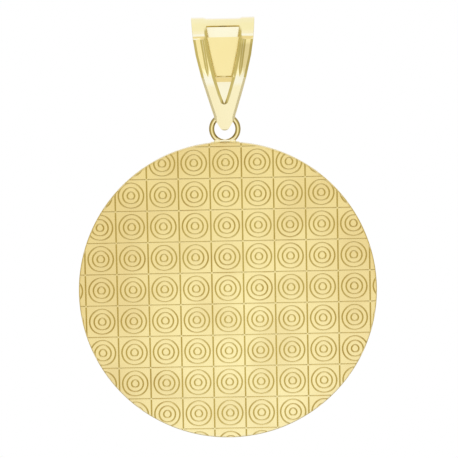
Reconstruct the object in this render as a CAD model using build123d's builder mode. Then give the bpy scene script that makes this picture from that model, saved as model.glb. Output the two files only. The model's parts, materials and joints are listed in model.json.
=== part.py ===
"""Round gold pendant: a stamped medallion on a jump ring that hangs in a V-fronted bail.

Frame: millimetres, +Z up, +X to the right of the viewer, the stamped face looks along -Y.
The origin lies at the top of the bail's channel, on the line where a chain carries it.
"""
import math
import os

from build123d import *

# Medallion
disc_diameter = 45.0
disc_thickness = 1.5
front_rim_round = 0.15
back_rim_round = 0.3

# Stamped pattern: squares, each with three rings round its centre. One sits above the disc's centre.
cell_pitch = 4.77
pattern_rise = 0.36
inner_ring_radius = 0.55
ring_step = 0.675
ring_count = 3
groove_width = 0.24
groove_depth = 0.08
crossing_land = 0.4

# Jump ring, sunk into the disc's rim, and the pad and solder that hold it there
ring_hole_diameter = 3.15
ring_wire = 0.8
ring_sink = 0.4
pad_width = 4.3
pad_height = 0.9
pad_rise = 0.04
pad_thickness = 1.1
solder_width = 3.6
solder_top_width = 3.1
solder_height = 0.35
solder_thickness = 0.7

# Bail: a strap folded over the chain, with raised borders that run down both legs
bail_drop = 16.02
strap_depth = 6.0
strap_wall = 0.6
border_height = 0.16
bail_top_width = 9.5
bail_neck_width = 3.15
bend_drop = 8.1
bend_reach = 1.6
ring_slot = 2.0
border_bevel = 0.38
border_slope = 0.45

# Inside of the strap: it leans in below the crown, is scored at the bend and eases into it
crown_lean_height = 1.55
crown_lean_inset = 0.16
score_drop = 8.35
score_width = 0.2
score_depth = 0.1
ease_height = 0.8
ease_inset = 0.07

# Bar that joins the feet of the legs through the ring
bar_diameter = 1.5
bar_clearance = 0.17
tip_wall = 0.05

# Window in the front leg, between the borders
window_width = 4.9
window_top_drop = 0.4
window_drop = 11.95

# Facet cut along each front border, with its distances from the window's edge
facet_width = 0.65
facet_depth = 0.13
facet_inset_top = 0.68
facet_inset_foot = 1.05

# Sections of a leg. Columns: place as a share of its span, half width as a share of the way
# from neck to top, half width of the window as a share of the window's own.
# The upper span runs from the fold to the bend, the lower one from the bend to the feet.
upper_sections = [
    (0.00, 0.921, 1.000),
    (0.41, 0.808, 0.829),
    (1.00, 0.559, 0.522),
]
lower_sections = [
    (0.43, 0.325, 0.216),
]
window_foot_share = 0.03

# Cutters reach this far past what they cut
over = 1.0
groove_lift = 0.04

disc_radius = disc_diameter / 2
front_face = -disc_thickness / 2
hole_radius = ring_hole_diameter / 2
wire_radius = ring_wire / 2
ring_radius = hole_radius + wire_radius
ring_center = -bail_drop
disc_top = ring_center - ring_radius - wire_radius + ring_sink
disc_center = disc_top - disc_radius

half_depth = strap_depth / 2
crest_depth = half_depth + border_height
channel_radius = half_depth - strap_wall
slot_half = ring_slot / 2
fold_center = -channel_radius
bend = -bend_drop
score = -score_drop
leg_foot = ring_center + ring_radius
top_half_width = bail_top_width / 2
foot_half_width = bail_neck_width / 2
window_half = window_width / 2
window_foot = -window_drop
crown_half = channel_radius - crown_lean_inset
crown_foot = fold_center + crown_lean_height
bar_radius = bar_diameter / 2
bar_center = ring_center + hole_radius - bar_clearance - bar_radius
tip_radius = bar_radius + tip_wall
tip_bottom = bar_center - tip_radius


# Cutters of the stamped pattern: V-shaped grooves, open towards the front
groove_flare = groove_width / 2 * (groove_depth + groove_lift) / groove_depth


def groove_corners(center):
    """Corners of a groove's section across the front face, at a distance from the cell's axis."""
    return [
        (center - groove_flare, front_face - groove_lift),
        (center + groove_flare, front_face - groove_lift),
        (center, front_face + groove_depth),
    ]


with BuildPart() as cell_rings:
    with BuildSketch(Plane.XY):
        for ring in range(ring_count):
            with BuildLine():
                Polyline(*groove_corners(inner_ring_radius + ring * ring_step), close=True)
            make_face()
    revolve(axis=Axis.Y)

line_length = cell_pitch - crossing_land
with BuildPart() as line_groove:
    with BuildSketch(Plane.XY):
        with BuildLine():
            Polyline(*groove_corners(0), close=True)
        make_face()
    extrude(amount=line_length / 2, both=True)

# Places of the cells and of the lines between them, as far as they reach the disc
outer_groove = inner_ring_radius + (ring_count - 1) * ring_step + groove_flare
reach = math.ceil((disc_radius + outer_groove + pattern_rise) / cell_pitch)
cell_places = []
upright_places = []
level_places = []
for column in range(-reach, reach + 1):
    for row in range(-reach, reach + 1):
        x = column * cell_pitch
        z = pattern_rise + row * cell_pitch
        if math.hypot(x, z) < disc_radius + outer_groove:
            cell_places.append((x, 0, disc_center + z))
        side = x + cell_pitch / 2
        if math.hypot(side, max(0, abs(z) - line_length / 2)) < disc_radius:
            upright_places.append((side, 0, disc_center + z))
        above = z + cell_pitch / 2
        if math.hypot(max(0, abs(x) - line_length / 2), above) < disc_radius:
            level_places.append((x, 0, disc_center + above))

front_round = min(front_rim_round, 0.6 * disc_thickness)
back_round = min(back_rim_round, 0.3 * disc_thickness)

with BuildPart() as medallion:
    with BuildSketch(Plane.XZ.offset(front_face)):
        with Locations((0, disc_center)):
            Circle(disc_radius)
    extrude(amount=disc_thickness)
    fillet(medallion.edges().group_by(Axis.Y)[0], front_round)
    fillet(medallion.edges().group_by(Axis.Y)[-1], back_round)
    with Locations(*cell_places):
        add(cell_rings.part, mode=Mode.SUBTRACT)
    with Locations(*upright_places):
        add(line_groove.part, mode=Mode.SUBTRACT)
    with Locations(*level_places):
        add(line_groove.part, rotation=(0, 90, 0), mode=Mode.SUBTRACT)
    # Flat pad on the rim, solder beside the ring, and the ring itself
    with BuildSketch(Plane.XZ.offset(-pad_thickness / 2)):
        with Locations((0, disc_top + pad_rise)):
            Rectangle(pad_width, pad_height, align=(Align.CENTER, Align.MAX))
    extrude(amount=pad_thickness)
    with BuildSketch(Plane.XZ.offset(-solder_thickness / 2)):
        with BuildLine():
            Polyline(
                (-solder_width / 2, disc_top),
                (solder_width / 2, disc_top),
                (solder_top_width / 2, disc_top + solder_height),
                (-solder_top_width / 2, disc_top + solder_height),
                close=True,
            )
        make_face()
        with Locations((0, ring_center)):
            Circle(ring_radius, mode=Mode.SUBTRACT)
    extrude(amount=solder_thickness)
    with Locations((0, 0, ring_center)):
        Torus(ring_radius, wire_radius, rotation=(90, 0, 0))
medallion.part.label = "medallion"


def strap_face(z):
    """Distance from the middle plane to the sunk face of a leg at height z, round the bend."""
    lean = (channel_radius - slot_half) / (bend - leg_foot)
    past = bend - z
    if past <= -bend_reach:
        inward = 0
    elif past < bend_reach:
        inward = (past + bend_reach) ** 2 / (4 * bend_reach)
    else:
        inward = past
    return half_depth - lean * inward


def panel_section(z, panel_half):
    """Section of the sunk panel of the front leg, between the sloped sides of its borders."""
    floor = -strap_face(z)
    with BuildSketch(Plane.XY.offset(z)) as section:
        with BuildLine():
            Polyline(
                (-panel_half, floor),
                (panel_half, floor),
                (panel_half + 2 * border_slope, floor - 2 * border_height),
                (-panel_half - 2 * border_slope, floor - 2 * border_height),
                close=True,
            )
        make_face()
    return section.sketch


def legs_section(z, half_width):
    """Section across both legs, before the channel is cut between them."""
    crest = strap_face(z) + border_height
    with BuildSketch(Plane.XY.offset(z)) as section:
        Rectangle(2 * half_width, 2 * crest)
        chamfer(section.vertices(), border_bevel)
    return section.sketch


# Rows of height, half width of the legs and half width of the window
leg_rows = []
spans = [(upper_sections, fold_center, bend), (lower_sections, bend, leg_foot)]
for sections, span_top, span_foot in spans:
    for place, width_share, window_share in sections:
        leg_rows.append(
            (
                span_top + place * (span_foot - span_top),
                foot_half_width + width_share * (top_half_width - foot_half_width),
                window_share * window_half,
            )
        )
fold_half_width = leg_rows[0][1]
bend_window_half = leg_rows[len(upper_sections) - 1][2]
window_foot_half = window_foot_share * window_half

# More rows where the legs bend, between those above
for place in (-1, -0.5, 0.5, 1):
    z = bend + place * bend_reach
    over_row = min((row for row in leg_rows if row[0] > z), key=lambda row: row[0])
    under_row = max((row for row in leg_rows if row[0] < z), key=lambda row: row[0])
    share = (z - under_row[0]) / (over_row[0] - under_row[0])
    leg_rows.append(
        (
            z,
            under_row[1] + share * (over_row[1] - under_row[1]),
            under_row[2] + share * (over_row[2] - under_row[2]),
        )
    )
leg_rows.sort(reverse=True)

# Cutter of the sunk panel, which ends in a point below the window's foot
foot_floor = -strap_face(window_foot)
with BuildPart() as sunk_panel:
    panel_sections = [panel_section(z, panel_half) for z, half_width, panel_half in leg_rows]
    panel_sections.append(panel_section(window_foot, window_foot_half))
    panel_sections.append(Vertex(0, foot_floor - 2 * border_height, window_foot - 2 * border_slope))
    loft(sections=panel_sections, ruled=True)

# Cutters of the facets on the front borders, which run out at the bend
facet_flare = facet_width / 2 * (facet_depth + over) / facet_depth
with BuildPart() as facets:
    for side in (-1, 1):
        facet_top_x = side * (window_half + facet_inset_top)
        facet_foot_x = side * (bend_window_half + facet_inset_foot)
        with BuildSketch(Plane.XY.offset(fold_center)) as facet_section:
            with BuildLine():
                Polyline(
                    (facet_top_x - facet_flare, -crest_depth - over),
                    (facet_top_x + facet_flare, -crest_depth - over),
                    (facet_top_x, -crest_depth + facet_depth),
                    close=True,
                )
            make_face()
        facet_foot = Vertex(facet_foot_x, -strap_face(bend) - border_height, bend)
        loft(sections=[facet_section.sketch, facet_foot], ruled=True)

with BuildPart() as bail:
    # Both legs, from the fold down past the feet
    leg_sections = [legs_section(z, half_width) for z, half_width, panel_half in leg_rows]
    leg_sections.append(legs_section(leg_foot, foot_half_width))
    leg_sections.append(legs_section(tip_bottom, foot_half_width))
    loft(sections=leg_sections, ruled=True)
    # The fold over the chain, with a sunk band between its borders
    with BuildSketch(Plane.XY.offset(fold_center)):
        with BuildLine():
            Polyline(
                (-top_half_width, 0),
                (-top_half_width, -crest_depth),
                (-window_half - border_slope, -crest_depth),
                (-window_half, -half_depth),
                (window_half, -half_depth),
                (window_half + border_slope, -crest_depth),
                (top_half_width, -crest_depth),
                (top_half_width, 0),
                close=True,
            )
        make_face()
    revolve(axis=Axis((0, 0, fold_center), (-1, 0, 0)), revolution_arc=180)
    # The fold's sides narrow from its top to the legs
    with BuildSketch(Plane.XZ):
        for side in (-1, 1):
            with BuildLine():
                Polyline(
                    (side * fold_half_width, fold_center),
                    (side * top_half_width, fold_center + crest_depth),
                    (side * (top_half_width + over), fold_center + crest_depth),
                    (side * (top_half_width + over), fold_center),
                    close=True,
                )
            make_face()
    extrude(amount=crest_depth + over, both=True, mode=Mode.SUBTRACT)
    # Sunk panels on both legs, facets on the front one
    add(sunk_panel.part, mode=Mode.SUBTRACT)
    add(mirror(sunk_panel.part, about=Plane.XZ), mode=Mode.SUBTRACT)
    add(facets.part, mode=Mode.SUBTRACT)
    # The channel for the chain narrows to the slot that holds the ring
    with BuildSketch(Plane.YZ):
        with BuildLine():
            ThreePointArc((-crown_half, crown_foot), (0, 0), (crown_half, crown_foot))
            Polyline(
                (crown_half, crown_foot),
                (channel_radius, fold_center),
                (channel_radius, score + score_width / 2),
                (channel_radius + score_depth, score),
                (channel_radius, score - score_width / 2),
                (channel_radius - ease_inset, score - ease_height),
                (slot_half, leg_foot),
                (slot_half, tip_bottom - over),
                (-slot_half, tip_bottom - over),
                (-slot_half, leg_foot),
                (-channel_radius + ease_inset, score - ease_height),
                (-channel_radius, score - score_width / 2),
                (-channel_radius - score_depth, score),
                (-channel_radius, score + score_width / 2),
                (-channel_radius, fold_center),
                (-crown_half, crown_foot),
            )
        make_face()
    extrude(amount=top_half_width + over, both=True, mode=Mode.SUBTRACT)
    # Window through the front leg
    window_side = [(panel_half, z) for z, half_width, panel_half in leg_rows]
    window_side.append((window_foot_half, window_foot))
    with BuildSketch(Plane.XZ.offset(slot_half / 2)):
        with BuildLine():
            Polyline(
                (-window_half, -window_top_drop),
                (window_half, -window_top_drop),
                *window_side,
                *[(-x, z) for x, z in reversed(window_side)],
                close=True,
            )
        make_face()
    extrude(amount=crest_depth, mode=Mode.SUBTRACT)
    # The feet close in on the bar below the neck
    with BuildSketch(Plane.XZ):
        with Locations((0, bar_center)):
            Circle(tip_radius)
        with Locations((0, leg_foot)):
            Rectangle(bail_neck_width, wire_radius)
        make_hull()
        with Locations((0, leg_foot)):
            Rectangle(bail_top_width + over, bail_drop, align=(Align.CENTER, Align.MIN))
    extrude(amount=crest_depth + over, both=True, mode=Mode.INTERSECT)
    with BuildSketch(Plane.XZ):
        with Locations((0, bar_center)):
            Circle(bar_radius)
    extrude(amount=slot_half + strap_wall / 2, both=True)
bail.part.label = "bail"

os.makedirs("parts", exist_ok=True)
export_step(medallion.part, "parts/medallion.step")
export_step(bail.part, "parts/bail.step")
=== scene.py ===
"""Gold pendant: a stamped medallion on its jump ring, hanging in a V-fronted bail.

Run as a script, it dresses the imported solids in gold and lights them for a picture.
"""
import json
import math

import bmesh
import bpy
from bpy.props import FloatProperty, FloatVectorProperty, IntProperty, PointerProperty
from bpy.types import Operator, Panel, PropertyGroup
from mathutils import Matrix, Quaternion, Vector


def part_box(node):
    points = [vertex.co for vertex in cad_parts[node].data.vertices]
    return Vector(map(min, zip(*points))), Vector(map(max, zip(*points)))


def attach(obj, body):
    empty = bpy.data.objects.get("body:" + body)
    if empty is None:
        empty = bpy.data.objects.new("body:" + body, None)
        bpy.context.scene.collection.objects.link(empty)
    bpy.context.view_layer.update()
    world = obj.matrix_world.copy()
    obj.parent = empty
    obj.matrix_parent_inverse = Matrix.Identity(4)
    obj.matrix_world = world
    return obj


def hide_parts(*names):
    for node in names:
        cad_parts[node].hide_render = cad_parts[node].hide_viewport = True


bl_info = {
    "name": "Gold pendant",
    "version": (1, 0, 0),
    "blender": (4, 5, 0),
    "location": "View3D > Sidebar > Pendant",
    "description": "Builds a stamped gold medallion with its jump ring and its bail",
    "category": "Object",
}

MM = 0.001
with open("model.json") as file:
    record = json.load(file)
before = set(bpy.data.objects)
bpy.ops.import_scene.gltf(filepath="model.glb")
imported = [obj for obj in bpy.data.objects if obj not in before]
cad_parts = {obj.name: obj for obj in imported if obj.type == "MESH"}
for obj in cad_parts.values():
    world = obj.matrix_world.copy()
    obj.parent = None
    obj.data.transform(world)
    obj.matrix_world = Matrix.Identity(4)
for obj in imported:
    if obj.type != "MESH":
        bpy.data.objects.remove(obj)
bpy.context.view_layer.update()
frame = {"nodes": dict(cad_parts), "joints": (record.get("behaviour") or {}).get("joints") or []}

medallion_low, medallion_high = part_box("medallion")
bail_low, bail_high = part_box("bail")
swing_axis = next(Vector(j["pos_m"]) for j in frame["joints"] if j["name"] == "medallion_swing")
disc_radius = (medallion_high.x - medallion_low.x) / 2
disc_centre = Vector((0, 0, medallion_low.z + disc_radius))


# Sizes, colours and light that a user would change


def length(name, default, description, high=100.0):
    """A size in metres, from a default and a highest value in millimetres."""
    return FloatProperty(
        name=name,
        description=description,
        default=default * MM,
        min=0,
        max=high * MM,
        unit="LENGTH",
        precision=5,
    )


def angle(name, default, description):
    """An angle, from a default in degrees."""
    return FloatProperty(
        name=name, description=description, default=math.radians(default), subtype="ANGLE"
    )


def share(name, default, description, low=0.0):
    """A plain number from its lowest value to one."""
    return FloatProperty(name=name, description=description, default=default, min=low, max=1)


def gold(name, default, description):
    """A colour of the metal."""
    return FloatVectorProperty(
        name=name, description=description, default=default, subtype="COLOR", size=3, min=0, max=1
    )


def light(name, default, description):
    """Colour and strength of a part of the studio's light."""
    return FloatVectorProperty(
        name=name, description=description, default=default, subtype="COLOR", size=3, min=0, max=10
    )


class StampSizes(PropertyGroup):
    """Sizes of the disc and of the squares that are stamped on it."""

    disc_radius: length("Disc radius", disc_radius / MM, "Radius of the medallion")
    disc_depth: length(
        "Disc thickness", (medallion_high.y - medallion_low.y) / MM, "Thickness of the medallion"
    )
    front_round: length("Front rim round", 0.15, "Radius of the rolled front edge")
    back_round: length("Back rim round", 0.3, "Radius of the back edge")
    cell_pitch: length("Square pitch", 4.77, "Distance between two squares")
    pattern_rise: length("Pattern rise", 0.36, "Height of the middle square above the disc's centre")
    first_ring: length("First ring", 0.55, "Radius of the innermost ring of a square")
    ring_step: length("Ring step", 0.675, "Distance between two rings of a square")
    ring_count: IntProperty(
        name="Rings", description="Number of rings in a square", default=3, min=1, max=6
    )
    groove_width: length("Groove width", 0.24, "Width of a stamped line")
    groove_depth: length("Groove depth", 0.08, "Depth of a stamped line")
    crossing_land: length("Crossing land", 0.4, "Plain spot where the lines between squares meet")


class RingSizes(PropertyGroup):
    """Sizes of the jump ring and of what it is soldered to."""

    wire_radius: length("Wire radius", 0.4, "Radius of the jump ring's wire")
    hole_radius: length("Hole radius", 1.575, "Radius of the hole in the jump ring")
    pad_width: length("Pad width", 4.3, "Width of the flat pad on the rim")
    pad_height: length("Pad height", 0.9, "Height of the flat pad on the rim")
    pad_rise: length("Pad rise", 0.04, "How far the pad stands above the rim")
    pad_thickness: length("Pad thickness", 1.1, "Thickness of the flat pad")
    solder_width: length("Solder width", 3.6, "Width of the solder on the pad")
    solder_top_width: length("Solder top width", 3.1, "Width of the solder at its top")
    solder_height: length("Solder height", 0.35, "Height of the solder above the rim")
    solder_thickness: length("Solder thickness", 0.7, "Thickness of the solder")


class GoldLook(PropertyGroup):
    """Colours and finish of the gold."""

    # The disc's gold is painted palest at a spot low in its middle and painted into shade towards its
    # rim; the shade colour also tints random clouds
    disc_gold: gold("Disc gold", (0.955, 0.825, 0.385), "Satin gold of the stamped face")
    disc_shade_and_cloud: gold("Disc shade", (0.85, 0.69, 0.30), "Deeper tone towards the rim and in clouds")
    # Painted shade in the stamped lines, and painted light on the fainter lines near the disc's pale
    # spot
    groove_shade_gold: gold("Groove gold", (0.80, 0.63, 0.27), "Gold in the deeper stamped lines")
    lit_groove_gold: gold("Worn groove gold", (0.97, 0.84, 0.42), "Gold in the fainter stamped lines")
    bright_gold: gold("Polished gold", (1.0, 0.90, 0.49), "Polished gold of bail and ring")
    bright_deep: gold("Polished shade", (0.97, 0.84, 0.43), "Deeper tone of the polished gold")
    # Painted shade: on the ring's flanks, in the bail's notch, at its tip's end and as a dark
    # reflection on its right leg
    painted_shade_gold: gold(
        "Deep gold",
        (0.56, 0.46, 0.22),
        "Gold on the ring's flanks, in the bail's notch, at its tip's end and on its right leg",
    )
    # Partly a matt finish, partly painted light: a paler gold inside the bail's front leg and on its
    # lower bevels
    matt_sheen_gold: gold(
        "Matt gold",
        (1.0, 0.93, 0.66),
        "Unpolished gold inside the bail's front leg and on its lower bevels",
    )
    disc_roughness: share("Disc roughness", 0.16, "Roughness of the stamped face")
    bright_roughness: share("Polish roughness", 0.07, "Roughness of bail and ring")
    edge_bevel: length("Edge round", 0.045, "Radius of the polished edges of the bail")


class StageLook(PropertyGroup):
    """Camera, floor and light."""

    camera_rise: angle("Camera elevation", 7, "Angle of the camera above the horizon")
    camera_roll: angle("Camera roll", 1.1, "How far the picture turns to the left")
    picture_width: length("Picture width", 68.97, "Width of the picture at the pendant")
    aim_x: length("Aim across", 0.341, "Middle of the picture, to the right of the origin")
    aim_drop: length("Aim drop", 31.11, "Middle of the picture, below the origin")
    lens: FloatProperty(
        name="Lens", description="Focal length of the camera", default=250, min=20, max=400,
        unit="CAMERA",
    )
    floor_drop: length("Floor drop", 110, "Floor below the origin", high=1000)
    floor_radius: length("Floor radius", 160, "Radius of the floor", high=5000)
    floor_tone: gold("Floor tone", (0.8, 0.8, 0.79), "Pale floor")
    front_light: light("Front light", (0.96, 0.92, 0.82), "Light from the front and from behind")
    glow_light: light("Glow", (1.2, 1.27, 1.55), "Light of a soft glow low down in front")
    glow_across: share("Glow across", 0.02, "How far to the right the glow lies", low=-1)
    glow_up: share("Glow height", -0.2, "How far up the glow lies", low=-1)
    glow_size: share("Glow size", 0.13, "Reach of the glow")
    level_light: light("Level light", (0.86, 0.77, 0.60), "Light from just above the level in front")
    pale_light: light("Pale light", (0.97, 1.04, 1.50), "Light a little above and below the level")
    slant_light: light("Slanting light", (0.96, 0.97, 1.12), "Light from half way up and half way down")
    zenith_light: light("Zenith light", (0.94, 0.95, 0.98), "Light from straight above")
    back_light: light("Back light", (0.94, 0.96, 1.06), "Light from above and behind")
    nadir_light: light("Nadir light", (0.42, 0.39, 0.28), "Light from straight below")
    side_light: light("Side light", (0.57, 0.515, 0.30), "Warm dusk at the two sides")
    backdrop: light("Backdrop", (1.0, 1.0, 1.0), "White behind the pendant in the picture")


# Node trees written as sums


class Field:
    """A socket that takes part in sums, in a material or in a tree of geometry nodes."""

    def __init__(self, nodes, socket):
        self.nodes = nodes
        self.socket = socket

    def math(self, operation, *values, **settings):
        """This value and others put through one operation."""
        settings["operation"] = operation
        sockets = dict(enumerate((self, *values)))
        return self.nodes.add("ShaderNodeMath", settings, sockets)

    def __add__(self, other):
        return self.math("ADD", other)

    def __radd__(self, other):
        return self.math("ADD", other)

    def __sub__(self, other):
        return self.math("SUBTRACT", other)

    def __rsub__(self, other):
        return self.math("MULTIPLY_ADD", -1.0, other)

    def __mul__(self, other):
        return self.math("MULTIPLY", other)

    def __rmul__(self, other):
        return self.math("MULTIPLY", other)

    def __truediv__(self, other):
        return self.math("DIVIDE", other)

    def __rtruediv__(self, other):
        return self.math("POWER", -1.0) * other

    def __neg__(self):
        return self.math("MULTIPLY", -1.0)

    def __lt__(self, other):
        return self.math("LESS_THAN", other)

    def __gt__(self, other):
        return self.math("GREATER_THAN", other)

    def clamp(self):
        """This value, held between 0 and 1."""
        return self.math("ADD", 0.0, use_clamp=True)

    def smooth(self, low, high):
        """0 at low, 1 at high, and a soft step between them."""
        sockets = {"Value": self, "From Min": low, "From Max": high}
        settings = {"interpolation_type": "SMOOTHSTEP"}
        return self.nodes.add("ShaderNodeMapRange", settings, sockets, "Result")

    def output(self, name):
        """Another output of the node that this field comes from."""
        return Field(self.nodes, self.socket.node.outputs[name])


# How many times noise is laid over itself at half its size, plainly and for fine marks
PLAIN_DETAIL = 2.0
FINE_DETAIL = 3.0


class Nodes:
    """Adds nodes to one tree and links their sockets."""

    def __init__(self, tree):
        self.tree = tree

    def add(self, kind, settings=None, sockets=None, output=0):
        """A new node, given as the field of one of its outputs."""
        node = self.tree.nodes.new(kind)
        for name, value in (settings or {}).items():
            setattr(node, name, value)
        for name, value in (sockets or {}).items():
            self.feed(node.inputs[name], value)
        return Field(self, node.outputs[output]) if node.outputs else node

    def feed(self, socket, value):
        """Links a field to a socket, or sets the socket's value."""
        if isinstance(value, Field):
            self.tree.links.new(value.socket, socket)
        elif socket.type == "RGBA" and len(value) == 3:
            socket.default_value = (*value, 1)
        else:
            socket.default_value = value

    def mix(self, amount, first, second):
        """A colour between two colours."""
        settings = {"data_type": "RGBA"}
        sockets = {0: amount, 6: first, 7: second}
        return self.add("ShaderNodeMix", settings, sockets, 2)

    def split(self, places):
        """The three parts of a vector, as the outputs X, Y and Z."""
        return self.add("ShaderNodeSeparateXYZ", {}, {0: places})

    def noise(self, places, waves, detail=PLAIN_DETAIL):
        """Soft noise, in so many waves a metre."""
        sockets = {"Vector": places, "Scale": waves, "Detail": detail, "Roughness": 0.5}
        return self.add("ShaderNodeTexNoise", {}, sockets, "Fac")

    def brushed(self, places, waves):
        """Noise with a number of waves for each axis, as brushed marks."""
        pulled = self.add("ShaderNodeMapping", {}, {"Vector": places, "Scale": waves})
        return self.noise(pulled, 1, FINE_DETAIL)

    def painted(self, name):
        """A number that the mesh carries on its points or faces."""
        return self.add("ShaderNodeAttribute", {"attribute_name": name}, {}, "Fac")

    def relief(self, strength, distance, height):
        """Fine marks that turn the light and move no point."""
        sockets = {"Strength": strength, "Distance": distance, "Height": height}
        return self.add("ShaderNodeBump", {}, sockets)


# Points nearer to each other than this many millimetres become one
MERGE_REACH = 0.002


class Recipe(Nodes):
    """A tree of geometry nodes with named inputs."""

    def __init__(self, name):
        tree = bpy.data.node_groups.new(name, "GeometryNodeTree")
        super().__init__(tree)
        tree.interface.new_socket("Geometry", in_out="OUTPUT", socket_type="NodeSocketGeometry")
        self.entry = tree.nodes.new("NodeGroupInput")
        self.values = {}

    def input(self, name, value, kind="Float"):
        """A named input of the tree, and the value that it is given."""
        socket = self.tree.interface.new_socket(
            name, in_out="INPUT", socket_type="NodeSocket" + kind
        )
        self.values[socket.identifier] = value
        return Field(self, self.entry.outputs[name])

    def join(self, x=0.0, y=0.0, z=0.0):
        """A vector from its three parts."""
        return self.add("ShaderNodeCombineXYZ", {}, {"X": x, "Y": y, "Z": z})

    def moved(self, geometry, **sockets):
        """The geometry after a transform."""
        sockets["Geometry"] = geometry
        return self.add("GeometryNodeTransform", {}, sockets)

    def merged(self, geometry):
        """The geometry with points that fall together made one."""
        sockets = {0: geometry, "Distance": MERGE_REACH * MM}
        return self.add("GeometryNodeMergeByDistance", {}, sockets)

    def build(self, name, geometry, material):
        """The plain mesh that the tree makes, in one material."""
        geometry = self.add("GeometryNodeRealizeInstances", {}, {"Geometry": geometry})
        metal_input = self.input("Gold", material, "Material")
        sockets = {"Geometry": geometry, "Material": metal_input}
        geometry = self.add("GeometryNodeSetMaterial", {}, sockets)
        self.add("NodeGroupOutput", {}, {0: geometry})
        holder = bpy.data.objects.new(name + "_recipe", bpy.data.meshes.new(name + "_recipe"))
        bpy.context.scene.collection.objects.link(holder)
        modifier = holder.modifiers.new(name, "NODES")
        modifier.node_group = self.tree
        for identifier, value in self.values.items():
            modifier[identifier] = value
        return settled(holder, name)


def settled(holder, name):
    """The plain mesh of a helper object after its modifiers. The helper goes."""
    depsgraph = bpy.context.evaluated_depsgraph_get()
    mesh = bpy.data.meshes.new_from_object(holder.evaluated_get(depsgraph))
    mesh.name = name
    bpy.data.objects.remove(holder)
    return mesh


def show(name, mesh, body):
    """Puts a finished mesh in the scene, riding on a body and standing in for its solid.

    Each of the pendant's two bodies is one solid of the same name.
    """
    piece = bpy.data.objects.new(name, mesh)
    bpy.context.scene.collection.objects.link(piece)
    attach(piece, body)
    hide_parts(body)
    return piece


def flat_faces(piece):
    """Keeps the large faces flat, and turns the light only over the small ones between them."""
    flat = piece.modifiers.new("Flat faces", "WEIGHTED_NORMAL")
    flat.weight = 90
    flat.keep_sharp = True


# The two finishes of the gold, and the floor


def metal(name):
    """A material with its nodes, its gold shader and its object coordinates."""
    material = bpy.data.materials.new(name)
    material.use_nodes = True
    nodes = Nodes(material.node_tree)
    shader = material.node_tree.nodes["Principled BSDF"]
    shader.inputs["Metallic"].default_value = 1
    places = nodes.add("ShaderNodeTexCoord", {}, {}, "Object")
    return material, nodes, shader, places


# Where the disc's painted light is brightest, as shares of its radius across and up from its middle,
# and how much more slowly its painted shade grows upwards than across
LIT_SPOT_ACROSS = 0.05
LIT_SPOT_UP = -0.45
UPWARD_SHARE = 0.3
# Waves a metre of the disc's clouds, worn patches, grain and brushed marks, and between which
# strengths of their noise clouds and patches come in
DISC_CLOUD_WAVES = 95
DISC_CLOUD_STEP = (0.35, 0.7)
WORN_PATCH_WAVES = 230
WORN_PATCH_STEP = (0.5, 0.75)
DISC_GRAIN_WAVES = 5200
DISC_BRUSH_WAVES = (900, 900, 14000)
# How much the clouds change the disc's tone, and how much the painted shade in its lines deepens
# towards the rim and in random patches
CLOUD_SHADE = 0.45
RIM_LINE_SHADE = 0.7
PATCH_LINE_SHADE = 0.6
# A stamped line's painted shade comes in from its edge down to this share of its full depth
LINE_SHADE_DEPTH = 0.45
# How far the grain, the clouds and the stamped lines change the disc's roughness
DISC_GRAIN_ROUGHNESS = 0.12
DISC_CLOUD_ROUGHNESS = 0.04
LINE_ROUGHNESS = 0.08
# Height of the disc's fine marks in millimetres, and the grain's share of them
DISC_MARK_HEIGHT = 0.0015
DISC_MARK_STRENGTH = 0.25
DISC_GRAIN_SHARE = 0.6


def satin_gold(look):
    """Stamped face: satin gold, clouded a little, with painted light palest low in its middle and
    painted shade towards its rim and in its lines.
    """
    material, nodes, shader, places = metal("satin_gold")
    at = nodes.split(places)
    # Painted light: the disc is palest at a spot low in its middle, and painted shade grows from there
    # towards its rim
    across = at.output("X") / disc_radius - LIT_SPOT_ACROSS
    up = (at.output("Z") - disc_centre.z) / disc_radius - LIT_SPOT_UP
    painted_light_falloff = (across * across + up * up * UPWARD_SHARE).math("SQRT")
    clouds = nodes.noise(places, DISC_CLOUD_WAVES, FINE_DETAIL).smooth(*DISC_CLOUD_STEP)
    patches = nodes.noise(places, WORN_PATCH_WAVES).smooth(*WORN_PATCH_STEP)
    grain = nodes.noise(places, DISC_GRAIN_WAVES)
    marks = nodes.brushed(places, DISC_BRUSH_WAVES)
    groove = nodes.painted("groove")

    # Painted shade towards the rim, mixed with random clouds
    shade = (painted_light_falloff + (clouds - 0.5) * CLOUD_SHADE).clamp()
    plain = nodes.mix(shade, look.disc_gold, look.disc_shade_and_cloud)
    # Painted shade in the stamped lines: deeper towards the rim and in random patches, lighter near the
    # painted pale spot
    line_shade_amount = (painted_light_falloff * RIM_LINE_SHADE + patches * PATCH_LINE_SHADE).clamp()
    line = nodes.mix(line_shade_amount, look.lit_groove_gold, look.groove_shade_gold)
    colour = nodes.mix(groove.smooth(0.0, LINE_SHADE_DEPTH), plain, line)
    roughness = look.disc_roughness + (grain - 0.5) * DISC_GRAIN_ROUGHNESS
    roughness = roughness + clouds * DISC_CLOUD_ROUGHNESS + groove * LINE_ROUGHNESS
    height = grain * DISC_GRAIN_SHARE + marks * (1 - DISC_GRAIN_SHARE)
    nodes.feed(shader.inputs["Base Color"], colour)
    nodes.feed(shader.inputs["Roughness"], roughness)
    relief = nodes.relief(DISC_MARK_STRENGTH, DISC_MARK_HEIGHT * MM, height)
    nodes.feed(shader.inputs["Normal"], relief)
    return material


# The front of the bail's right leg gets painted shade, a dark reflection painted in. Between these
# places, in millimetres, the painted shade comes in across, comes in upwards and goes again; it begins
# this far in front of the middle plane, and is this strong.
RIGHT_ACROSS = (1.8, 3.0)
RIGHT_FOOT = (-8.8, -6.5)
RIGHT_TOP = (-3.4, -2.6)
RIGHT_FRONT = 2.8
RIGHT_SHADE = 0.45
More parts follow.
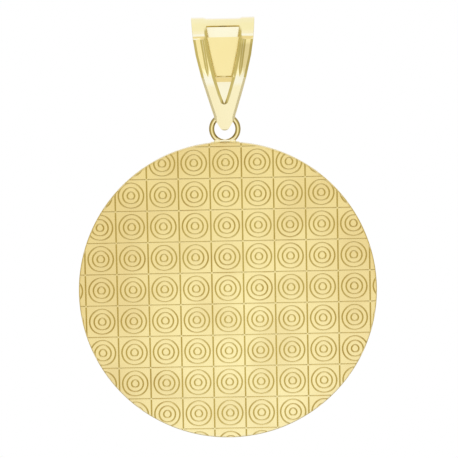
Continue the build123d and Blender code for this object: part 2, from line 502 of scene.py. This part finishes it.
# Waves a metre of the polished gold's clouds, grain and brushed marks, and between which
# strengths of their noise the clouds come in
POLISH_CLOUD_WAVES = 260
POLISH_CLOUD_STEP = (0.3, 0.75)
POLISH_GRAIN_WAVES = 3000
POLISH_BRUSH_WAVES = (5000, 700, 700)
# How far the clouds shade the polished gold
POLISH_SHADE = 0.4
# Between these shares of the way out from the wire's middle line, the ring's flanks deepen in painted
# shade
FLANK_SHADE_STEP = (0.1, 0.75)
# How far clouds, marks and the matt parts change the roughness, and how much less the matt
# parts shine as metal
POLISH_CLOUD_ROUGHNESS = 0.03
POLISH_MARK_ROUGHNESS = 0.04
MATT_ROUGHNESS = 0.55
MATT_DULLING = 0.5
# Height of the polished gold's fine marks in millimetres, and the grain's share of them
POLISH_MARK_HEIGHT = 0.0008
POLISH_MARK_STRENGTH = 0.2
POLISH_GRAIN_SHARE = 0.5


def polished_gold(look):
    """Bail and ring: polished gold with fine marks of wear, with painted shade in places, and matt with
    a painted paler sheen in places.
    """
    material, nodes, shader, places = metal("polished_gold")
    clouds = nodes.noise(places, POLISH_CLOUD_WAVES).smooth(*POLISH_CLOUD_STEP)
    grain = nodes.noise(places, POLISH_GRAIN_WAVES, FINE_DETAIL)
    marks = nodes.brushed(places, POLISH_BRUSH_WAVES)
    # Painted shade on the ring's flanks, in the bail's notch and at its tip's end
    deep = nodes.painted("deep")
    matt_and_sheen = nodes.painted("matt_and_sheen")
    at = nodes.split(places)
    height = at.output("Z") / MM
    right_shade = (at.output("X") / MM).smooth(*RIGHT_ACROSS) * (at.output("Y") < -RIGHT_FRONT * MM)
    right_shade = right_shade * height.smooth(*RIGHT_FOOT) * (1 - height.smooth(*RIGHT_TOP))

    colour = nodes.mix(clouds * POLISH_SHADE, look.bright_gold, look.bright_deep)
    # Painted shade: a dark reflection painted on the front of the right leg
    colour = nodes.mix(right_shade * RIGHT_SHADE, colour, look.painted_shade_gold)
    colour = nodes.mix(deep.smooth(*FLANK_SHADE_STEP), colour, look.painted_shade_gold)
    # Matt finish with painted light: a paler gold where the faces are matt
    colour = nodes.mix(matt_and_sheen, colour, look.matt_sheen_gold)
    roughness = look.bright_roughness + clouds * POLISH_CLOUD_ROUGHNESS
    roughness = roughness + (marks - 0.5) * POLISH_MARK_ROUGHNESS + matt_and_sheen * MATT_ROUGHNESS
    fine = grain * POLISH_GRAIN_SHARE + marks * (1 - POLISH_GRAIN_SHARE)
    nodes.feed(shader.inputs["Base Color"], colour)
    nodes.feed(shader.inputs["Metallic"], 1 - matt_and_sheen * MATT_DULLING)
    nodes.feed(shader.inputs["Roughness"], roughness)
    relief = nodes.relief(POLISH_MARK_STRENGTH, POLISH_MARK_HEIGHT * MM, fine)
    nodes.feed(shader.inputs["Normal"], relief)
    return material


# Waves a metre of the floor's tone, how far it darkens in them, and how rough it is
FLOOR_WAVES = 12
FLOOR_SHADE = 0.97
FLOOR_ROUGHNESS = 0.7


def pale_floor(tone):
    """Plain pale floor with a trace of unevenness."""
    material, nodes, shader, places = metal("pale_floor")
    shader.inputs["Metallic"].default_value = 0
    shader.inputs["Roughness"].default_value = FLOOR_ROUGHNESS
    darker = [FLOOR_SHADE * part for part in tone]
    colour = nodes.mix(nodes.noise(places, FLOOR_WAVES), tone, darker)
    nodes.feed(shader.inputs["Base Color"], colour)
    return material


# The stamped disc

# A stamped square is a sheet of points. Its columns go round its centre. Its rows go from the
# centre to the side: the middle, each ring with the land outside it, the corner, and the side
# with its half of the line between two squares.
COLUMNS = 48
MIDDLE_ROWS = 2
RING_ROWS = 6
CORNER_ROWS = 3
SIDE_ROWS = 3
# A groove has five rows. Counted from 0, these are its lowest and its last.
GROOVE_LOWEST = 2
GROOVE_LAST = 4
# Rows and columns are whole numbers, so they are told apart half way between two
BETWEEN = 0.5
# How much closer the columns stand to the corners of a square than to the middle of a side
CORNER_CROWDING = 2.0
# Points that lie this near to the cut at the rim, in millimetres, are drawn onto it
CUT_REACH = 0.01
# Places of the loops of points round the rim's two edges, in degrees, and over the back, as
# shares of the disc's radius
FRONT_TURNS = (20, 40, 58, 74, 90)
BACK_TURNS = (90, 60, 30, 0)
BACK_LOOPS = (0.9, 0.5)
# An edge that turns more than this many degrees stays crisp
SHARP_TURN = 20


def stamped_square(recipe, pitch, first, step, rings, width, land):
    """One square with its rings, and how sunk each of its points is."""
    rows = rings * RING_ROWS + (MIDDLE_ROWS + CORNER_ROWS + SIDE_ROWS)
    sheet = recipe.add(
        "GeometryNodeMeshGrid",
        {},
        {"Size X": COLUMNS, "Size Y": rows - 1, "Vertices X": COLUMNS + 1, "Vertices Y": rows},
        "Mesh",
    )
    at = recipe.split(recipe.add("GeometryNodeInputPosition"))
    column = (at.output("X") + COLUMNS / 2).math("ROUND")
    row = (at.output("Y") + (rows - 1) * 0.5).math("ROUND")

    # Distance from the centre, on the circles of the rings
    in_rings = row > MIDDLE_ROWS - BETWEEN
    ring_row = (row - MIDDLE_ROWS).math("MINIMUM", rings * RING_ROWS - 1)
    ring = (ring_row / RING_ROWS).math("FLOOR")
    part = ring_row - ring * RING_ROWS
    in_groove = part < GROOVE_LAST + BETWEEN
    on_land = part > GROOVE_LAST + BETWEEN
    off_ring = in_groove * (part - GROOVE_LOWEST) * width / GROOVE_LAST + on_land * step / 2
    inside = (row > BETWEEN) * (1 - in_rings) * (first - width / 2) / 2
    circle = in_rings * (first + ring * step + off_ring) + inside

    # Place on the side of the square, and how far a point has come on its way there
    side_row = row - MIDDLE_ROWS - rings * RING_ROWS - CORNER_ROWS
    on_side = side_row > -BETWEEN
    way = ((side_row + CORNER_ROWS + 1) / (CORNER_ROWS + 1)).clamp()
    short = (GROOVE_LOWEST - side_row).math("MINIMUM", GROOVE_LOWEST) * width / GROOVE_LAST
    half_side = pitch / 2 - short
    quarter = ((column + COLUMNS / 8) / (COLUMNS / 4)).math("FLOOR")
    sway = (column - quarter * (COLUMNS / 4)) / (COLUMNS / 8)
    from_corner = (1 - sway.math("ABSOLUTE")).math("POWER", CORNER_CROWDING)
    along = sway.math("SIGN") * (1 - from_corner) * half_side
    facing = quarter * (math.pi / 2)
    side_x = half_side * facing.math("COSINE") - along * facing.math("SINE")
    side_y = half_side * facing.math("SINE") + along * facing.math("COSINE")

    turn = column * (2 * math.pi / COLUMNS)
    x = (1 - way) * circle * turn.math("COSINE") + way * side_x
    y = (1 - way) * circle * turn.math("SINE") + way * side_y

    # The line between two squares comes in as it leaves the plain spot at the corner
    raised = (part - GROOVE_LOWEST).math("ABSOLUTE") / GROOVE_LOWEST
    ring_groove = in_rings * (1 - on_side) * (1 - raised).math("MAXIMUM", 0.0)
    line_end = (from_corner * half_side / (land / 4) - 1).clamp()
    groove = ring_groove + on_side * line_end * side_row / GROOVE_LOWEST
    sheet = recipe.add(
        "GeometryNodeStoreNamedAttribute",
        {"data_type": "FLOAT", "domain": "POINT"},
        {"Geometry": sheet, "Name": "groove", "Value": groove},
    )
    sockets = {"Geometry": sheet, "Position": recipe.join(x, y)}
    return recipe.merged(recipe.add("GeometryNodeSetPosition", {}, sockets))


def side_by_side(recipe, square, radius, pitch, rise):
    """Squares in rows and columns, as far as they reach the disc."""
    reach = ((radius + pitch) / pitch).math("CEIL")
    span = reach * pitch * 2
    count = reach * 2 + 1
    sockets = {"Size X": span, "Size Y": span, "Vertices X": count, "Vertices Y": count}
    lattice = recipe.add("GeometryNodeMeshGrid", {}, sockets, "Mesh")
    lattice = recipe.moved(lattice, Translation=recipe.join(y=rise))
    sockets = {"Points": lattice, "Instance": square}
    squares = recipe.add("GeometryNodeInstanceOnPoints", {}, sockets)
    squares = recipe.add("GeometryNodeRealizeInstances", {}, {"Geometry": squares})
    return recipe.merged(squares)


def stamped_face(sizes, material):
    """The stamped squares over the disc and a little past its rim, flat, round the origin."""
    recipe = Recipe("Stamped squares")
    radius = recipe.input("Disc radius", sizes.disc_radius)
    pitch = recipe.input("Square pitch", sizes.cell_pitch)
    rise = recipe.input("Pattern rise", sizes.pattern_rise)
    first = recipe.input("First ring", sizes.first_ring)
    step = recipe.input("Ring step", sizes.ring_step)
    rings = recipe.input("Rings", sizes.ring_count, "Int")
    width = recipe.input("Groove width", sizes.groove_width)
    land = recipe.input("Crossing land", sizes.crossing_land)
    square = stamped_square(recipe, pitch, first, step, rings, width, land)
    squares = side_by_side(recipe, square, radius, pitch, rise)
    at = recipe.split(recipe.add("GeometryNodeInputPosition"))
    distance = (at.output("X") * at.output("X") + at.output("Y") * at.output("Y")).math("SQRT")
    squares = recipe.add(
        "GeometryNodeDeleteGeometry",
        {"domain": "FACE"},
        {"Geometry": squares, "Selection": distance > radius + step},
    )
    return recipe.build("stamped_disc", squares, material)


def cut_round(shell, radius):
    """Cuts a sheet at a circle. Its points' heights give way to their distance from the middle."""
    for vert in shell.verts:
        vert.co.z = math.hypot(vert.co.x, vert.co.y)
    bmesh.ops.bisect_plane(
        shell,
        geom=[*shell.verts, *shell.edges, *shell.faces],
        dist=CUT_REACH * MM,
        plane_co=(0, 0, radius),
        plane_no=(0, 0, 1),
        clear_outer=True,
    )
    for vert in shell.verts:
        if vert.is_boundary:
            far = math.hypot(vert.co.x, vert.co.y)
            vert.co = (vert.co.x / far * radius, vert.co.y / far * radius, radius)


def rim_loops(sizes):
    """Radius and height of each loop of points down the rim and over the back."""
    radius = sizes.disc_radius
    half = sizes.disc_depth / 2
    front = sizes.front_round
    back = sizes.back_round
    loops = []
    for turn in FRONT_TURNS:
        lean = math.radians(turn)
        loops.append((radius - front + front * math.sin(lean), half - front + front * math.cos(lean)))
    for turn in BACK_TURNS:
        lean = math.radians(turn)
        loops.append((radius - back + back * math.sin(lean), -half + back - back * math.cos(lean)))
    loops.append((radius - 2 * back, -half))
    return loops + [(radius * reach, -half) for reach in BACK_LOOPS]


def close_disc(mesh, sizes):
    """Cuts the stamped squares round, and adds the rolled rim and the plain back."""
    shell = bmesh.new()
    shell.from_mesh(mesh)
    groove = shell.verts.layers.float.get("groove")
    half = sizes.disc_depth / 2
    cut_round(shell, sizes.disc_radius - sizes.front_round)
    gold_slot = max(face.material_index for face in shell.faces)
    for vert in shell.verts:
        vert.co.z = half - vert[groove] * sizes.groove_depth
    edges = [edge for edge in shell.edges if edge.is_boundary]
    for out, height in rim_loops(sizes):
        made = bmesh.ops.extrude_edge_only(shell, edges=edges)["geom"]
        edges = [part for part in made if isinstance(part, bmesh.types.BMEdge)]
        edges = [edge for edge in edges if edge.is_boundary]
        for vert in {vert for edge in edges for vert in edge.verts}:
            far = math.hypot(vert.co.x, vert.co.y)
            # A stamped line runs out level over the rim
            level = min(vert.co.z, height)
            vert[groove] = (height - level) / sizes.groove_depth
            vert.co = Vector((vert.co.x / far * out, vert.co.y / far * out, level))
    middle = shell.verts.new((0, 0, -half))
    middle[groove] = 0
    for edge in edges:
        shell.faces.new((edge.verts[0], edge.verts[1], middle))
    upright = Matrix.Translation(disc_centre) @ Matrix.Rotation(math.pi / 2, 4, "X")
    bmesh.ops.transform(shell, matrix=upright, verts=shell.verts)
    bmesh.ops.recalc_face_normals(shell, faces=shell.faces)
    for face in shell.faces:
        face.smooth = True
        face.material_index = gold_slot
    shell.to_mesh(mesh)
    shell.free()
    mesh.set_sharp_from_angle(angle=math.radians(SHARP_TURN))


class PENDANT_OT_disc(Operator):
    """Make the stamped disc of the medallion"""

    bl_idname = "pendant.disc"
    bl_label = "Stamped disc"

    def execute(self, context):
        sizes = context.scene.pendant_stamp
        mesh = stamped_face(sizes, satin_gold(context.scene.pendant_gold))
        close_disc(mesh, sizes)
        flat_faces(show("stamped_disc", mesh, "medallion"))
        return {"FINISHED"}


# The jump ring, and the pad and solder under it

# Points along the ring, and round its wire
RING_POINTS = 96
WIRE_POINTS = 24
# The stretch of wire that sinks into the solder: half of its angle in degrees, how much
# thicker it is than the wire, and its points along and round
SUNK_HALF_ANGLE = 42
SUNK_SWELL = 1.04
SUNK_POINTS = 24
SUNK_SIDES = 16
# How far the solder reaches below the rim, and the grid on which pad and solder flow into one,
# in millimetres, and then how far and how often each point moves to the middle of its neighbours
SOLDER_SINK = 0.2
FLOW_GRID = 0.05
FLOW_SHARE = 0.5
FLOW_ROUNDS = 5


def ring_mesh(sizes, material):
    """The jump ring: a wire bent round, upright, in line with the disc."""
    recipe = Recipe("Jump ring")
    bend_radius = sizes.hole_radius + sizes.wire_radius
    bend = recipe.input("Bend radius", bend_radius)
    wire = recipe.input("Wire radius", sizes.wire_radius)
    top = recipe.input("Top of the bend", tuple(swing_axis), "Vector")
    circle = "GeometryNodeCurvePrimitiveCircle"
    line = recipe.add(circle, {}, {"Resolution": RING_POINTS, "Radius": bend})
    section = recipe.add(circle, {}, {"Resolution": WIRE_POINTS, "Radius": wire})
    tube = recipe.add("GeometryNodeCurveToMesh", {}, {"Curve": line, "Profile Curve": section})
    down = recipe.join(z=-bend)
    middle = recipe.add("ShaderNodeVectorMath", {"operation": "ADD"}, {0: top, 1: down})
    tube = recipe.moved(tube, Rotation=(math.pi / 2, 0, 0), Translation=middle)
    mesh = recipe.build("jump_ring", tube, material)

    shell = bmesh.new()
    shell.from_mesh(mesh)
    bmesh.ops.recalc_face_normals(shell, faces=shell.faces)
    # Painted shade on the wire's flanks: how far out from the wire's middle line a point lies
    deep = shell.verts.layers.float.new("deep")
    for vert in shell.verts:
        far = math.hypot(vert.co.x, vert.co.z - swing_axis.z + bend_radius)
        vert[deep] = abs(far - bend_radius) / sizes.wire_radius
    for face in shell.faces:
        face.smooth = True
    shell.to_mesh(mesh)
    shell.free()
    return mesh


def block(shell, low, high, top_share=1.0):
    """A block whose top is narrower than its foot by a share."""
    corners = []
    for z, narrow in ((low[2], 1.0), (high[2], top_share)):
        for x, y in ((low[0], low[1]), (high[0], low[1]), (high[0], high[1]), (low[0], high[1])):
            corners.append(shell.verts.new((x * narrow, y, z)))
    foot, top = corners[:4], corners[4:]
    shell.faces.new(foot[::-1])
    shell.faces.new(top)
    for turn in range(4):
        after = (turn + 1) % 4
        shell.faces.new((foot[turn], foot[after], top[after], top[turn]))


def arc_of_wire(shell, centre, bend, wire, half_angle):
    """The lowest stretch of the ring's wire, closed at both ends."""
    hoops = []
    for step in range(SUNK_POINTS + 1):
        turn = -math.pi / 2 + half_angle * (2 * step / SUNK_POINTS - 1)
        hoop = []
        for side in range(SUNK_SIDES):
            around = 2 * math.pi * side / SUNK_SIDES
            far = bend + wire * math.cos(around)
            place = (far * math.cos(turn), wire * math.sin(around), centre.z + far * math.sin(turn))
            hoop.append(shell.verts.new(place))
        hoops.append(hoop)
    for near, far in zip(hoops, hoops[1:]):
        for side in range(SUNK_SIDES):
            after = (side + 1) % SUNK_SIDES
            shell.faces.new((near[side], near[after], far[after], far[side]))
    shell.faces.new(hoops[0][::-1])
    shell.faces.new(hoops[-1])


def seat_mesh(sizes, material):
    """Pad and solder that hold the ring, flowed into one soft form."""
    shell = bmesh.new()
    rim = disc_centre.z + disc_radius
    top = rim + sizes.pad_rise
    half = sizes.pad_width / 2
    deep = sizes.pad_thickness / 2
    block(shell, (-half, -deep, top - sizes.pad_height), (half, deep, top))
    half = sizes.solder_width / 2
    deep = sizes.solder_thickness / 2
    foot = (-half, -deep, rim - SOLDER_SINK * MM)
    top_share = sizes.solder_top_width / sizes.solder_width
    block(shell, foot, (half, deep, rim + sizes.solder_height), top_share)
    bend = sizes.hole_radius + sizes.wire_radius
    centre = swing_axis - Vector((0, 0, bend))
    thick = sizes.wire_radius * SUNK_SWELL
    arc_of_wire(shell, centre, bend, thick, math.radians(SUNK_HALF_ANGLE))
    bmesh.ops.recalc_face_normals(shell, faces=shell.faces)
    mesh = bpy.data.meshes.new("ring_seat_blocks")
    shell.to_mesh(mesh)
    shell.free()

    holder = bpy.data.objects.new("ring_seat_blocks", mesh)
    bpy.context.scene.collection.objects.link(holder)
    flow = holder.modifiers.new("Flow", "REMESH")
    flow.mode = "VOXEL"
    flow.voxel_size = FLOW_GRID * MM
    flow.use_smooth_shade = True
    soften = holder.modifiers.new("Soften", "SMOOTH")
    soften.factor = FLOW_SHARE
    soften.iterations = FLOW_ROUNDS
    made = settled(holder, "ring_seat")
    made.materials.clear()
    made.materials.append(material)
    return made


class PENDANT_OT_ring(Operator):
    """Make the jump ring and the pad and solder under it"""

    bl_idname = "pendant.ring"
    bl_label = "Jump ring"

    def execute(self, context):
        sizes = context.scene.pendant_ring
        material = polished_gold(context.scene.pendant_gold)
        show("jump_ring", ring_mesh(sizes, material), "medallion")
        show("ring_seat", seat_mesh(sizes, material), "medallion")
        return {"FINISHED"}


# The bail. Lengths are in millimetres, drops are below the origin, angles are in degrees.

# The solid comes as loose triangles. Points this near to each other are one, and a turn under
# this many degrees is none.
WELD_REACH = 0.0005
FLAT_TURN = 0.6
# Above this share of the bail's height the strap's outside is folded round, in facets that turn
# a little, so only an edge that turns more than the fold's crease counts there. Elsewhere the
# legs' crease counts, and so it does on the inside below the crown, which lies nearer to the
# middle plane than this reach.
FOLD_END_SHARE = 0.8
FOLD_CREASE = 24
LEG_CREASE = 4.5
INSIDE_REACH = 2.5
CROWN_DROP = 0.8
# An edge that turns this much gets the full round
FULL_ROUND = 70
# Where the two feet begin, and where their round ends do, which keep crisp edges
FOOT_DROP = 14.0
CRISP_DROP = 15.7
# How far back a face points on the inside of the front leg, how far it points aside and also forwards
# or back on a bevel along a leg, and the drop from which these bevels are matt and painted paler
FACING_BACK = 0.3
FACING_ASIDE = 0.5
MATT_DROP = 8.0
# The notch at the window's foot, which gets painted shade: half its width, and the drops that it lies
# between
NOTCH_HALF = 0.4
NOTCH_TOP_DROP = 11.7
NOTCH_FOOT_DROP = 12.3
# A face under this many square millimetres whose points lie this near a neighbour's plane
# belongs to that neighbour
SLIVER_AREA = 0.1
SLIVER_OFF = 0.03


def join_flat(shell):
    """Joins faces that lie in one plane."""
    bmesh.ops.dissolve_limit(
        shell, angle_limit=math.radians(FLAT_TURN), verts=shell.verts, edges=shell.edges
    )


def join_slivers(shell):
    """Gives each sliver left along a cut to the neighbour that it lies flat against."""
    slivers = [face for face in shell.faces if face.calc_area() < SLIVER_AREA * MM**2]
    for face in slivers:
        if not face.is_valid or face.calc_center_median().z < -FOOT_DROP * MM:
            continue
        for edge in sorted(face.edges, key=lambda edge: -edge.calc_length()):
            other = next((near for near in edge.link_faces if near != face), face)
            corner = edge.verts[0].co
            off = max(abs((vert.co - corner).dot(other.normal)) for vert in face.verts)
            if other.calc_area() > face.calc_area() and off < SLIVER_OFF * MM:
                bmesh.ops.dissolve_edges(shell, edges=[edge], use_verts=False)
                break


def mark_edges(shell):
    """Says how far each edge of the bail is rounded, and which of the others stay crisp."""
    fold_end = bail_low.z + (bail_high.z - bail_low.z) * FOLD_END_SHARE
    weight = shell.edges.layers.float.new("bevel_weight_edge")
    for edge in shell.edges:
        turn = math.degrees(edge.calc_face_angle(0))
        low = min(vert.co.z for vert in edge.verts)
        high = max(vert.co.z for vert in edge.verts)
        depth = max(abs(vert.co.y) for vert in edge.verts)
        inside = depth < INSIDE_REACH * MM and high < -CROWN_DROP * MM
        crease = FOLD_CREASE if low > fold_end and not inside else LEG_CREASE
        if turn > crease and low > -CRISP_DROP * MM:
            edge[weight] = min(1, turn / FULL_ROUND)
        elif turn > SHARP_TURN:
            edge.smooth = False


def is_matt_with_sheen(face):
    """Whether a face is matt with a painted paler sheen: inside the front leg, or one of the bevels low
    down on the legs.
    """
    middle = face.calc_center_median() / MM
    inside = middle.y < 0 and face.normal.y > FACING_BACK
    bevel = min(abs(face.normal.x), abs(face.normal.y)) > FACING_ASIDE
    return inside or (bevel and middle.z < -MATT_DROP)


def is_painted_shade(face):
    """Whether a face gets painted shade: in the notch at the window's foot, or at the tip's end."""
    middle = face.calc_center_median() / MM
    in_front = face.normal.y < -FACING_ASIDE and abs(middle.x) < NOTCH_HALF
    in_notch = in_front and NOTCH_TOP_DROP < -middle.z < NOTCH_FOOT_DROP
    return in_notch or middle.z < -CRISP_DROP


def strap_mesh(material):
    """The bail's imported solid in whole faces, with its edges and its tones marked."""
    shell = bmesh.new()
    shell.from_mesh(frame["nodes"]["bail"].data)
    bmesh.ops.remove_doubles(shell, verts=shell.verts, dist=WELD_REACH * MM)
    join_flat(shell)
    join_slivers(shell)
    join_flat(shell)
    mark_edges(shell)
    # Matt finish, painted paler as a sheen
    matt_and_sheen = shell.faces.layers.float.new("matt_and_sheen")
    # Painted shade in the notch at the window's foot and at the tip's end
    deep = shell.faces.layers.float.new("deep")
    for face in shell.faces:
        face.smooth = True
        face[matt_and_sheen] = is_matt_with_sheen(face)
        face[deep] = is_painted_shade(face)
    mesh = bpy.data.meshes.new("bail_strap")
    shell.to_mesh(mesh)
    shell.free()
    mesh.materials.append(material)
    return mesh


class PENDANT_OT_bail(Operator):
    """Make the bail, with its edges rounded by polishing"""

    bl_idname = "pendant.bail"
    bl_label = "Bail"

    def execute(self, context):
        look = context.scene.pendant_gold
        piece = show("bail_strap", strap_mesh(polished_gold(look)), "bail")
        bevel = piece.modifiers.new("Polished edges", "BEVEL")
        bevel.limit_method = "WEIGHT"
        bevel.width = look.edge_bevel
        bevel.segments = 2
        bevel.use_clamp_overlap = False
        flat_faces(piece)
        return {"FINISHED"}


# The stage: light, floor and camera

# The height of a light's direction is -1 straight below, 0 level and 1 straight above. Each
# band of light comes in between two heights, the pale and the slanting one both ways.
LEVEL_BAND = (-0.06, 0.02)
PALE_BAND = (0.18, 0.3)
SLANT_BAND = (0.4, 0.5)
ZENITH_BAND = (0.6, 0.8)
NADIR_BAND = (-0.6, -0.8)
# What counts as behind, from the front at -1 to the back at 1
BEHIND_BAND = (-0.1, 0.3)
# The sides darken between these shares of a full turn aside, and no more above these heights
SIDE_BAND = (0.3, 0.62)
SIDE_END_BAND = (0.55, 0.9)
# Keeps the light from straight above and below from a division by nothing
SMALLEST_REACH = 0.01
FLOOR_POINTS = 96
# Width of the camera's film in millimetres, as the lens is
FILM_WIDTH = 36


def studio_light(world, look):
    """Soft light from all round: bright on a slant, darker at the sides and below."""
    world.use_nodes = True
    nodes = Nodes(world.node_tree)
    at = nodes.split(nodes.add("ShaderNodeTexCoord", {}, {}, "Generated"))
    across = at.output("X")
    along = at.output("Y")
    height = at.output("Z")
    steep = height.math("ABSOLUTE")
    behind = along.smooth(*BEHIND_BAND)
    in_front = 1 - behind
    level_reach = (across * across + along * along).math("SQRT").math("MAXIMUM", SMALLEST_REACH)
    turned = across.math("ABSOLUTE") / level_reach
    aside = turned.smooth(*SIDE_BAND) * (1 - steep.smooth(*SIDE_END_BAND))
    off_x = across - look.glow_across
    off_z = height - look.glow_up
    glow = (off_x * off_x + off_z * off_z).math("SQRT").smooth(look.glow_size, 0.0) * in_front
    above = nodes.mix(behind, look.zenith_light, look.back_light)
    colour = nodes.mix(glow, look.front_light, look.glow_light)
    colour = nodes.mix(height.smooth(*LEVEL_BAND) * in_front, colour, look.level_light)
    colour = nodes.mix(steep.smooth(*PALE_BAND), colour, look.pale_light)
    colour = nodes.mix(steep.smooth(*SLANT_BAND), colour, look.slant_light)
    colour = nodes.mix(height.smooth(*ZENITH_BAND), colour, above)
    colour = nodes.mix(height.smooth(*NADIR_BAND), colour, look.nadir_light)
    colour = nodes.mix(aside, colour, look.side_light)
    seen = nodes.add("ShaderNodeLightPath", {}, {}, "Is Camera Ray")
    colour = nodes.mix(seen, colour, look.backdrop)
    nodes.feed(world.node_tree.nodes["Background"].inputs["Color"], colour)


def floor_object(look):
    """A pale round floor, which the gold doesn't mirror."""
    disc = bmesh.new()
    bmesh.ops.create_circle(disc, cap_ends=True, segments=FLOOR_POINTS, radius=look.floor_radius)
    bmesh.ops.translate(disc, verts=disc.verts, vec=(0, 0, -look.floor_drop))
    mesh = bpy.data.meshes.new("floor")
    disc.to_mesh(mesh)
    disc.free()
    mesh.materials.append(pale_floor(look.floor_tone))
    floor = bpy.data.objects.new("floor", mesh)
    floor.visible_glossy = False
    return floor


def camera_object(look):
    """A camera with a long lens, a little above the pendant and turned a little."""
    lens = bpy.data.cameras.new("camera")
    lens.lens = look.lens
    lens.sensor_width = FILM_WIDTH
    lens.clip_start = 0.01
    lens.clip_end = 10
    camera = bpy.data.objects.new("camera", lens)
    back = Vector((0, -math.cos(look.camera_rise), math.sin(look.camera_rise)))
    away = look.lens * look.picture_width / FILM_WIDTH
    front = Vector((look.aim_x, medallion_low.y, -look.aim_drop))
    camera.location = front + back * away
    camera.rotation_mode = "QUATERNION"
    upright = (-back).to_track_quat("-Z", "Y")
    camera.rotation_quaternion = upright @ Quaternion((0, 0, 1), -look.camera_roll)
    return camera


class PENDANT_OT_stage(Operator):
    """Make the floor, the light and the camera"""

    bl_idname = "pendant.stage"
    bl_label = "Stage"

    def execute(self, context):
        scene = context.scene
        look = scene.pendant_stage
        scene.view_settings.view_transform = "Standard"
        scene.world = bpy.data.worlds.new("Soft light")
        studio_light(scene.world, look)
        floor = floor_object(look)
        scene.collection.objects.link(floor)
        scene.camera = camera_object(look)
        scene.collection.objects.link(scene.camera)
        return {"FINISHED"}


class PENDANT_PT_panel(Panel):
    """Sizes, colours and pieces of the pendant"""

    bl_label = "Gold pendant"
    bl_idname = "PENDANT_PT_panel"
    bl_space_type = "VIEW_3D"
    bl_region_type = "UI"
    bl_category = "Pendant"

    def draw(self, context):
        for operator in OPERATORS:
            self.layout.operator(operator.bl_idname)
        for name in GROUPS:
            box = self.layout.box()
            group = getattr(context.scene, name)
            for entry in group.__annotations__:
                box.prop(group, entry)


GROUPS = {
    "pendant_stamp": StampSizes,
    "pendant_ring": RingSizes,
    "pendant_gold": GoldLook,
    "pendant_stage": StageLook,
}
OPERATORS = (PENDANT_OT_disc, PENDANT_OT_ring, PENDANT_OT_bail, PENDANT_OT_stage)
CLASSES = (*GROUPS.values(), *OPERATORS, PENDANT_PT_panel)


def register():
    for cls in CLASSES:
        bpy.utils.register_class(cls)
    for name, group in GROUPS.items():
        setattr(bpy.types.Scene, name, PointerProperty(type=group))


def unregister():
    for name in GROUPS:
        delattr(bpy.types.Scene, name)
    for cls in reversed(CLASSES):
        bpy.utils.unregister_class(cls)


def main():
    register()
    bpy.ops.pendant.disc()
    bpy.ops.pendant.ring()
    bpy.ops.pendant.bail()
    bpy.ops.pendant.stage()


if __name__ == "__main__":
    main()
